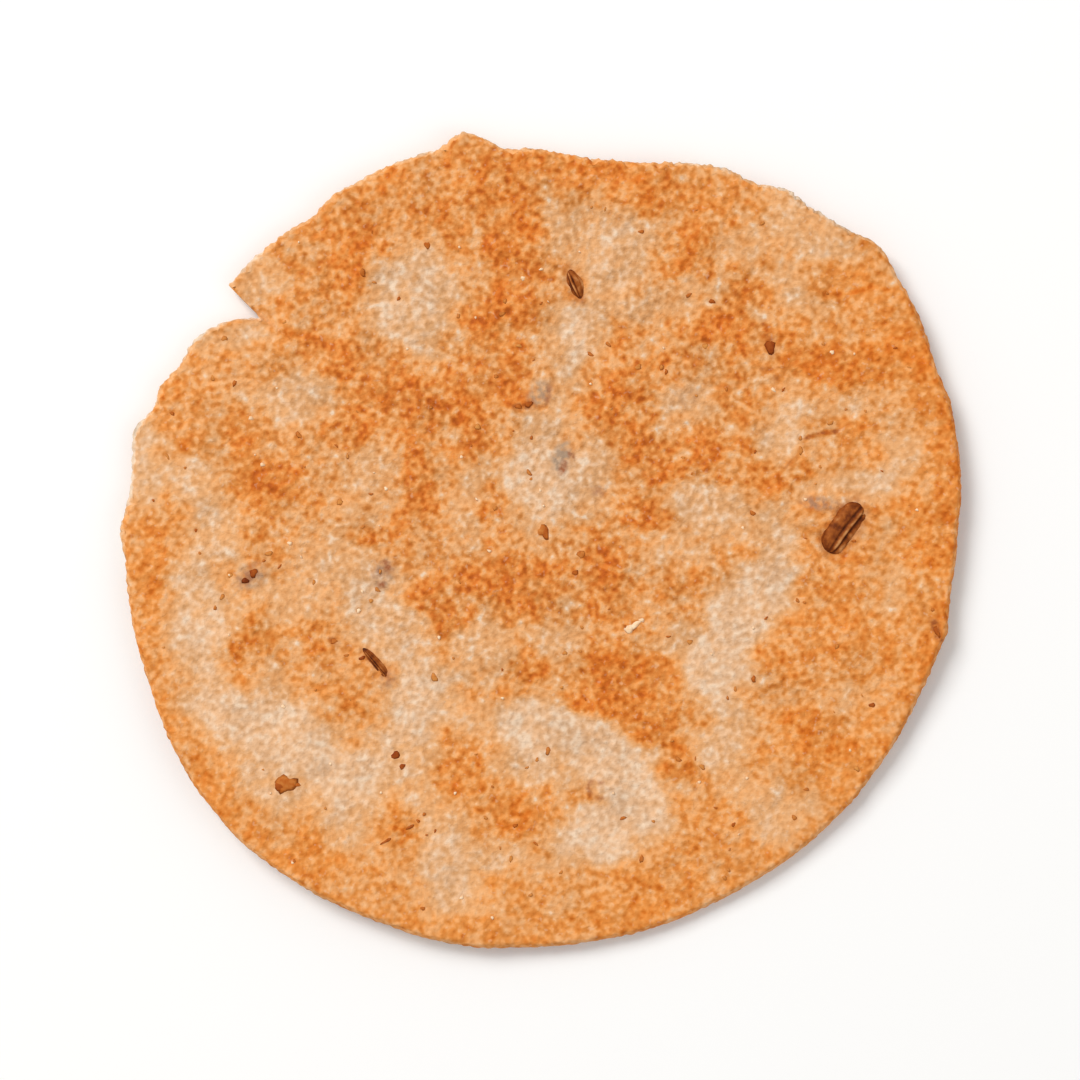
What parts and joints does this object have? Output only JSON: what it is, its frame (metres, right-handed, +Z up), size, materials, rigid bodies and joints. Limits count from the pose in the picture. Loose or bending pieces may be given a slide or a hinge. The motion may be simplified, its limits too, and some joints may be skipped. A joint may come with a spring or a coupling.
{
  "type": "khakhra",
  "caption": "Thin crisp round of roasted wholewheat flatbread, mottled cream and toasted orange, with cumin seeds pressed in and one ragged, torn side.",
  "frame": {"origin": "on the surface that the khakhra lies on, under the middle of its outline", "axes": "+Z up, out of the top face; +Y towards the end of the dough sheet, with the torn lip at the upper left seen from above"},
  "size_m": [0.0754, 0.0732, 0.0035],
  "materials": {
    "roasted_crust": "dry matte roasted dough, cream in the hollows and toasted orange on the raised spots",
    "cumin_seed": "dull brown ridged seed coat",
    "wheat_bran": "papery reddish brown flakes"
  },
  "bodies": {
    "root": {"khakhra": "roasted_crust"}
  },
  "joints": []
}
